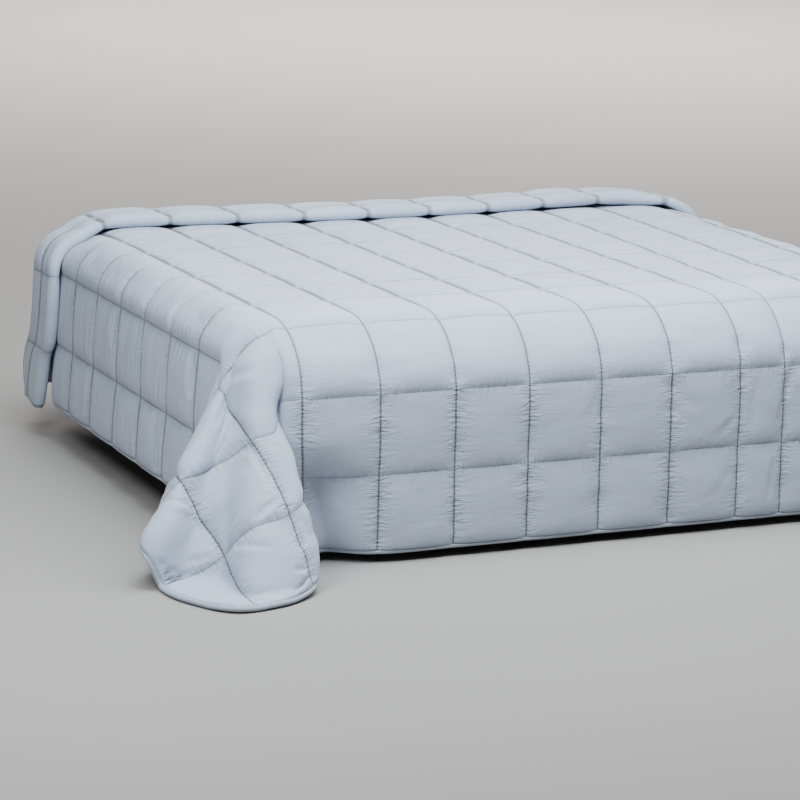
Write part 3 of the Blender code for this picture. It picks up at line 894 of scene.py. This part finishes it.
def rounded_outline(side, near, far, inset, radius, steps, height):
    """A level outline whose four corners turn about points inset from its sides."""
    points = []
    for quarter, (sign_x, reach_y) in enumerate(((1, far), (-1, far), (-1, -near), (1, -near))):
        centre_x = sign_x * (side - inset)
        centre_y = reach_y - math.copysign(inset, reach_y)
        for step in range(steps + 1):
            angle = math.pi / 2.0 * (quarter + step / steps)
            points.append((centre_x + radius * math.cos(angle),
                           centre_y + radius * math.sin(angle), height))
    return points


def mattress_outline(height):
    """Outline of the mattress at a height below its top."""
    under = rolled_inset(MATTRESS_UNDER_ROLL, MATTRESS_DEPTH - height)
    side = MATTRESS_LENGTH / 2.0 - rolled_inset(MATTRESS_ROLL, height) - under
    near = MATTRESS_WIDTH / 2.0 - rolled_inset(MATTRESS_NEAR_ROLL, height) - under
    far = MATTRESS_WIDTH / 2.0 - rolled_inset(MATTRESS_FAR_ROLL, height) - under
    return rounded_outline(side, near, far, MATTRESS_CORNER, MATTRESS_CORNER, 12,
                           MATTRESS_TOP - height)


def loft(rings, name, look):
    """A closed solid through rings of points, with flat ends."""
    shape = bmesh.new()
    made = [[shape.verts.new(point) for point in ring] for ring in rings]
    for upper, lower in zip(made, made[1:]):
        for index in range(len(upper)):
            following = (index + 1) % len(upper)
            shape.faces.new((upper[index], lower[index], lower[following], upper[following]))
    ends = [shape.faces.new(made[0]), shape.faces.new(list(reversed(made[-1])))]
    return smooth_piece(shape, name, look, flat=ends)


def make_mattress(look):
    """Mattress with soft rolled edges."""
    heights = [MATTRESS_NEAR_ROLL * (1.0 - math.cos(math.pi / 2.0 * step / 16))
               for step in range(17)]
    heights += [MATTRESS_DEPTH - MATTRESS_UNDER_ROLL]
    heights += [MATTRESS_DEPTH - MATTRESS_UNDER_ROLL * math.cos(math.pi / 2.0 * step / 4)
                for step in range(1, 5)]
    return loft([mattress_outline(height) for height in heights], "mattress_ticking", look)


def level_tube(ring, radius, name, look):
    """A thin tube round a level outline of the bed."""
    path, _ = even_path(ring, ring, TAPE_SPACING)
    return tube(path, outward_of(path, (0.0, 0.0, 1.0)), radius, TAPE_SIDES, name, look)


def make_edge_tapes(look):
    """Two rows of edge tape round the mattress border."""
    return [level_tube(mattress_outline(height), TAPE_RADIUS, name, look)
            for name, height in TAPES]


def make_base(look):
    """Upholstered bed base with piping round its lower edge."""
    top = MATTRESS_TOP - MATTRESS_DEPTH - SEAT_GAP
    length = MATTRESS_LENGTH - 2.0 * BASE_INSET
    width = MATTRESS_WIDTH - 2.0 * BASE_INSET
    shape = bmesh.new()
    bmesh.ops.create_cube(shape, size=1.0)
    bmesh.ops.scale(shape, vec=(length, width, BASE_DEPTH), verts=shape.verts)
    bmesh.ops.translate(shape, vec=(0.0, 0.0, top - BASE_DEPTH / 2.0), verts=shape.verts)
    bmesh.ops.bevel(shape, geom=shape.edges[:], offset=BASE_EDGE, segments=5, profile=0.5,
                    affect="EDGES", clamp_overlap=True)
    base = smooth_piece(shape, "base_upholstery", look)
    ring = rounded_outline(length / 2.0, width / 2.0, width / 2.0, BASE_EDGE, BASE_PIPING_BEND, 6,
                           top - BASE_DEPTH + BASE_EDGE)
    return base, level_tube(ring, BASE_PIPING_RADIUS, "base_piping", look)


# ---------------------------------------------------------------- finishes
def feed(entry, value):
    """Link a signal or socket to a node's input, or set a number there."""
    if isinstance(value, Signal):
        value = value.socket
    if isinstance(value, bpy.types.NodeSocket):
        entry.id_data.links.new(value, entry)
    else:
        entry.default_value = value


def reckon(tree, operation, *values):
    """A math node fed by signals or numbers."""
    node = tree.nodes.new("ShaderNodeMath")
    node.operation = operation
    for entry, value in zip(node.inputs, values):
        feed(entry, value)
    return Signal(tree, node.outputs[0])


class Signal:
    """A shader value that can be reckoned with like a number."""

    def __init__(self, tree, socket):
        self.tree = tree
        self.socket = socket

    def __add__(self, other):
        return reckon(self.tree, "ADD", self, other)

    def __sub__(self, other):
        return reckon(self.tree, "SUBTRACT", self, other)

    def __rsub__(self, other):
        return reckon(self.tree, "SUBTRACT", other, self)

    def __mul__(self, other):
        return reckon(self.tree, "MULTIPLY", self, other)

    def __truediv__(self, other):
        return reckon(self.tree, "DIVIDE", self, other)

    __radd__ = __add__

    def at_least(self, other):
        return reckon(self.tree, "MAXIMUM", self, other)

    def exponential(self):
        return reckon(self.tree, "EXPONENT", self)

    def back_and_forth(self):
        """Distance to the nearest whole number."""
        return reckon(self.tree, "PINGPONG", self, 0.5)

    def fade_in(self, low, high):
        """Rise smoothly from 0 at low to 1 at high."""
        node = self.tree.nodes.new("ShaderNodeMapRange")
        node.interpolation_type = "SMOOTHSTEP"
        node.inputs["From Min"].default_value = low
        node.inputs["From Max"].default_value = high
        feed(node.inputs["Value"], self)
        return Signal(self.tree, node.outputs["Result"])


def new_group(name, inputs, outputs):
    """An empty shader group of numbers, and of vectors where a value is None.

    Returns its tree, its input sockets and its output node.
    """
    tree = bpy.data.node_groups.new(name, "ShaderNodeTree")
    for label, value in inputs.items():
        kind = "NodeSocketVector" if value is None else "NodeSocketFloat"
        tree_socket(tree, label, kind, value=value)
    for label in outputs:
        tree_socket(tree, label, "NodeSocketFloat", way="OUTPUT")
    given = tree.nodes.new("NodeGroupInput")
    return tree, given.outputs, tree.nodes.new("NodeGroupOutput")


def place_group(tree, group, **values):
    """Place a group with its inputs set or linked, and return its outputs by name."""
    node = tree.nodes.new("ShaderNodeGroup")
    node.node_tree = group
    for label, value in values.items():
        feed(node.inputs[label], value)
    return {socket.name: Signal(tree, socket) for socket in node.outputs}


def split_place(tree, vector):
    """The first two parts of a vector."""
    split = tree.nodes.new("ShaderNodeSeparateXYZ")
    feed(split.inputs[0], vector)
    return Signal(tree, split.outputs[0]), Signal(tree, split.outputs[1])


def grain(tree, vector, stretch, detail=2.0, seed=0.0, distortion=0.0):
    """Noise on a vector stretched by three factors."""
    place = tree.nodes.new("ShaderNodeMapping")
    place.inputs["Scale"].default_value = stretch
    place.inputs["Location"].default_value = (seed, seed * 0.7, 0.0)
    feed(place.inputs["Vector"], vector)
    noise = tree.nodes.new("ShaderNodeTexNoise")
    noise.inputs["Scale"].default_value = 1.0
    noise.inputs["Detail"].default_value = detail
    noise.inputs["Distortion"].default_value = distortion
    feed(noise.inputs["Vector"], place.outputs["Vector"])
    return Signal(tree, noise.outputs["Fac"])


def weave_group():
    """Plain weave: over and under threads in two directions, with uneven yarn."""
    tree, given, result = new_group(
        "plain weave", {"Place": None, "Threads": 700.0}, ("Height", "Slub"))
    x, y = split_place(tree, given["Place"])
    warp = reckon(tree, "SINE", x * given["Threads"] * math.pi)
    weft = reckon(tree, "SINE", y * given["Threads"] * math.pi)
    slub = (grain(tree, given["Place"], (30.0, 420.0, 1.0))
            + grain(tree, given["Place"], (420.0, 30.0, 1.0), seed=3.0)) * 0.5
    feed(result.inputs["Height"], warp * weft * 0.25 + slub)
    feed(result.inputs["Slub"], slub)
    return tree


def gather_group():
    """Stitched seams of the quilting with painted shade along and beside them, the gathers beside
    them, fine streaks, and painted shade and light along the streaks on the top.
    """
    tree, given, result = new_group(
        "quilting seams and painted shade", {"Squares": None, "Reach": 0.13}, ("Height", "Seam", "Streak", "Tone"))
    squares = given["Squares"]
    u, v = split_place(tree, squares)
    hangs = 1.0 - v.fade_in(-0.15, 0.35)
    lies = v.fade_in(1.0, 2.2)
    over_bed = u.fade_in(0.3, 0.9)
    side = 1.0 - over_bed
    top = lies * over_bed
    past_roll = v.fade_in(0.5, 0.9)

    def seam_line(beside, along, width, dash_depth):
        """A dashed dark line on a seam, 0 to 1: the thread, and painted shade of the groove."""
        line = reckon(tree, "MINIMUM", (1.6 - beside / (width * 0.62)).at_least(0.0), 1.0)
        dash = ((along + SEAMS_ABOVE_ZERO) * STITCHES_DRAWN).back_and_forth()
        return line * (dash * (2.0 * dash_depth) + (1.0 - dash_depth))

    beside_long = (u + SEAMS_ABOVE_ZERO).back_and_forth()
    beside_cross = (v + SEAMS_ABOVE_ZERO).back_and_forth()
    between_crossings = beside_cross.fade_in(-0.03, 0.13)
    # How dark and wide the seam lines are drawn changes with where the cloth lies: wider on the
    # top and gone at the crossings there, fainter on the sides and in front. This part is painted
    # shade of the grooves.
    long_line = (seam_line(beside_long, v, 0.018 + top * 0.040, 0.45)
                 * (1.0 - top * (1.0 - between_crossings))
                 * (1.0 - side * past_roll * 0.40))
    cross_line = (seam_line(beside_cross, u, 0.018 + top * 0.006 + side * lies * 0.022, 0.2)
                  * (past_roll * 0.30 + (side * 0.40 + 0.06)))
    # Painted shade: the colour darkens towards every seam, as if shade lay in the grooves.
    shade = (beside_long * -22.0).exponential().at_least((beside_cross * -22.0).exponential())
    feed(result.inputs["Seam"], long_line.at_least(cross_line).at_least(shade * 0.16))

    patches = grain(tree, squares, (1.1, 1.7, 1.0), 1.0, seed=2.0).fade_in(0.38, 0.62)
    strength = 0.20 + hangs * (0.25 + patches * 0.85)
    to_long = grain(tree, squares, (6.5, 22.0, 1.0), 3.0, distortion=0.7)
    to_cross = grain(tree, squares, (20.0, 4.0, 1.0), 3.0, seed=5.0, distortion=0.4)
    near_long = (beside_long / given["Reach"] * -1.0).exponential()
    near_cross = (beside_cross / given["Reach"] * -1.0).exponential()
    feed(result.inputs["Height"],
         to_long * near_long * strength + to_cross * near_cross * 0.5)

    fine = grain(tree, squares, (1.3, 15.0, 1.0), 4.0, seed=9.0)
    rumple = grain(tree, squares, (2.2, 2.9, 1.0), 2.5, seed=14.0, distortion=0.6)
    feed(result.inputs["Streak"],
         fine * 1.4 * (lies * (1.0 - side * 0.55)) + rumple * 0.22)
    # Painted shade and light: the cover's colour follows the fine streaks on the top, darker in
    # their hollows and lighter on their crests.
    feed(result.inputs["Tone"], (fine - 0.5) * (lies * 0.9))
    return tree


def fade_group():
    """Cloudy unevenness of a dyed or worn surface."""
    tree, given, result = new_group("uneven dye", {"Place": None, "Patch": 6.0}, ("Tone",))
    noise = tree.nodes.new("ShaderNodeTexNoise")
    noise.inputs["Detail"].default_value = 4.0
    feed(noise.inputs["Vector"], given["Place"])
    feed(noise.inputs["Scale"], given["Patch"])
    feed(result.inputs["Tone"], noise.outputs["Fac"])
    return tree


def mixed(tree, share, first, second):
    """A colour between two others, each a socket or red, green and blue."""
    mix = tree.nodes.new("ShaderNodeMix")
    mix.data_type = "RGBA"
    for entry, colour in (("A", first), ("B", second)):
        feed(mix.inputs[entry], (*colour, 1.0) if isinstance(colour, tuple) else colour)
    feed(mix.inputs["Factor"], share)
    return mix.outputs["Result"]


def new_material(name, roughness, sheen=0.0, sheen_roughness=0.5, specular=0.3):
    """A Principled material with its constants on its own sockets."""
    look = bpy.data.materials.new(name)
    look.use_nodes = True
    shader = look.node_tree.nodes["Principled BSDF"]
    for label, value in (("Roughness", roughness), ("Specular IOR Level", specular),
                         ("Sheen Weight", sheen), ("Sheen Roughness", sheen_roughness)):
        shader.inputs[label].default_value = value
    return look, look.node_tree, shader


def object_place(tree):
    """Position on the object, in metres."""
    return tree.nodes.new("ShaderNodeTexCoord").outputs["Object"]


def bump(tree, shader, height, distance, strength, under=None):
    """A bump node into the shader's normal, on top of another if given."""
    node = tree.nodes.new("ShaderNodeBump")
    node.inputs["Distance"].default_value = distance
    node.inputs["Strength"].default_value = strength
    feed(node.inputs["Height"], height)
    if under is not None:
        feed(node.inputs["Normal"], under.outputs["Normal"])
    feed(shader.inputs["Normal"], node.outputs["Normal"])
    return node


def quilt_material(weave, gathers, fade):
    """Silver-blue woven cover of the blanket."""
    look, tree, shader = new_material("silver blue woven cover", 0.62, 0.12, 0.45, 0.28)
    cloth = tree.nodes.new("ShaderNodeUVMap")
    cloth.uv_map = "cloth"
    squares = cloth.outputs["UV"]
    metres = tree.nodes.new("ShaderNodeVectorMath")
    metres.operation = "SCALE"
    metres.inputs["Scale"].default_value = SQUARE
    feed(metres.inputs[0], squares)
    place = metres.outputs[0]
    woven = place_group(tree, weave, Place=place, Threads=COVER_THREADS)
    gathered = place_group(tree, gathers, Squares=squares, Reach=0.10)
    dyed = place_group(tree, fade, Place=place, Patch=9.0)
    flecks = place_group(tree, fade, Place=place, Patch=190.0)
    # gathered Tone is painted shade and light along the streaks on the top; the other parts are
    # dye, yarn and flecks.
    tone = (dyed["Tone"] * 0.25 + woven["Slub"] * 0.25
            + (flecks["Tone"] - 0.22) * 0.9 + gathered["Tone"])
    cover = mixed(tree, tone, COVER_DARK, COVER_LIGHT)
    # The seam lines and the shade painted beside the seams darken the cover towards the dark seam
    # and shade colour.
    feed(shader.inputs["Base Color"], mixed(tree, gathered["Seam"] * 0.95, cover, SEAM_AND_SHADE_COLOUR))
    feed(shader.inputs["Roughness"], woven["Slub"] * 0.22 + 0.50)
    first = bump(tree, shader, gathered["Height"], 0.012, 1.0)
    second = bump(tree, shader, gathered["Streak"], 0.011, 1.0, first)
    bump(tree, shader, woven["Height"], WEAVE_RELIEF, 0.35, second)
    return look


def woven_material(name, finish, groups, colours, relief, threads, patch=None, yarn=True):
    """Plain woven cloth, whose tone follows its yarn, and its dye where it has patches."""
    look, tree, shader = new_material(name, *finish)
    place = object_place(tree)
    woven = place_group(tree, groups[0], Place=place, Threads=threads)
    tone = woven["Slub"]
    if patch:
        dye = place_group(tree, groups[1], Place=place, Patch=patch)["Tone"]
        tone = (tone + dye) * 0.5 if yarn else dye
    feed(shader.inputs["Base Color"], mixed(tree, tone, *colours))
    bump(tree, shader, woven["Height"], *relief)
    return look


def thread_material(fade):
    """Grey-blue sewing thread."""
    look, tree, shader = new_material("grey blue sewing thread", 0.55, 0.2, 0.4, 0.4)
    dyed = place_group(tree, fade, Place=object_place(tree), Patch=40.0)
    feed(shader.inputs["Base Color"], mixed(tree, dyed["Tone"], THREAD_DARK, THREAD_LIGHT))
    return look


def wood_material(fade):
    """Dark stained wood with grain along the leg."""
    look, tree, shader = new_material("dark stained beech", 0.42, 0.0, 0.5, 0.45)
    place = object_place(tree)
    lines = grain(tree, place, (60.0, 60.0, 5.0), 5.0)
    worn = place_group(tree, fade, Place=place, Patch=20.0)
    tone = (lines + worn["Tone"]) * 0.5
    feed(shader.inputs["Base Color"], mixed(tree, tone, WOOD_DARK, WOOD_LIGHT))
    feed(shader.inputs["Roughness"], lines * 0.2 + 0.33)
    bump(tree, shader, lines, 0.0006, 0.5)
    return look


# ---------------------------------------------------------------- stage
def make_stage():
    """Pale floor, soft lights and the camera."""
    shape = bmesh.new()
    bmesh.ops.create_grid(shape, x_segments=1, y_segments=1, size=FLOOR_SIZE)
    look, _, shader = new_material("pale floor", 0.9, specular=0.1)
    shader.inputs["Base Color"].default_value = FLOOR_COLOUR
    new_piece(shape, "floor", look)
    world = bpy.data.worlds.new("studio")
    world.use_nodes = True
    sky = world.node_tree.nodes["Background"]
    sky.inputs["Color"].default_value = (*WHITE, 1.0)
    sky.inputs["Strength"].default_value = SKY_STRENGTH
    bpy.context.scene.world = world
    for name, kind, colour, power, size, place, aim in LIGHTS:
        lamp = bpy.data.lights.new(name, kind)
        lamp.energy = power
        lamp.color = colour
        if kind == "SUN":
            lamp.angle = math.radians(size)
        else:
            lamp.shape = "DISK"
            lamp.size = size
        light = new_object(name, lamp)
        light.location = place
        light.rotation_euler = (Vector(aim) - Vector(place)).to_track_quat("-Z", "Y").to_euler()
    lens = bpy.data.cameras.new("camera")
    lens.lens = CAMERA_LENS
    lens.sensor_width = 36.0
    lens.clip_end = 200.0
    camera = new_object("camera", lens)
    camera.location = CAMERA_PLACE
    camera.rotation_euler = tuple(math.radians(angle) for angle in CAMERA_TURN)
    bpy.context.scene.camera = camera


# ---------------------------------------------------------------- build
def main():
    """Make every piece and tie it to the frame."""
    make_stage()
    weave, gathers, fade = weave_group(), gather_group(), fade_group()
    quilt_look = quilt_material(weave, gathers, fade)
    piping_look = woven_material(
        "silver blue piping cloth", (0.62, 0.30, 0.45, 0.28), (weave, fade),
        (PIPING_DARK, PIPING_LIGHT), (WEAVE_RELIEF, 0.5), COVER_THREADS)
    thread_look = thread_material(fade)
    ticking_look = woven_material(
        "off white knitted ticking", (0.8, 0.25, 0.5, 0.25), (weave, fade),
        (TICKING_DARK, TICKING_LIGHT), (COARSE_RELIEF, 0.5), 320.0, patch=5.0, yarn=False)
    upholstery_look = woven_material(
        "mid grey base cloth", (0.85, 0.2, 0.5, 0.25), (weave, fade),
        (BASE_DARK, BASE_LIGHT), (COARSE_RELIEF, 0.7), 260.0, patch=8.0)
    wood_look = wood_material(fade)

    blanket, under, outer, normal, places = make_blanket(quilt_look)
    piping = make_piping(under, outer, normal, piping_look)
    stitches = make_stitches(seam_runs(outer, normal, places), thread_look)
    mattress = make_mattress(ticking_look)
    tapes = make_edge_tapes(ticking_look)
    base, base_piping = make_base(upholstery_look)

    for piece, node, slot in (
            (blanket, "blanket", "blanket_fabric"),
            (piping, "edge_binding", "binding_fabric"),
            (stitches, None, "blanket_fabric"),
            (mattress, "mattress", "mattress_fabric"),
            (tapes[0], None, "mattress_fabric"),
            (tapes[1], None, "mattress_fabric"),
            (base, "bed_base", "base_fabric"),
            (base_piping, None, "base_fabric"),
    ):
        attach(piece, "root")
        if node:
            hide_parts(node)
    for name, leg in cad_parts.items():
        if name.startswith("leg_"):
            leg.data.materials.clear()
            leg.data.materials.append(wood_look)


main()
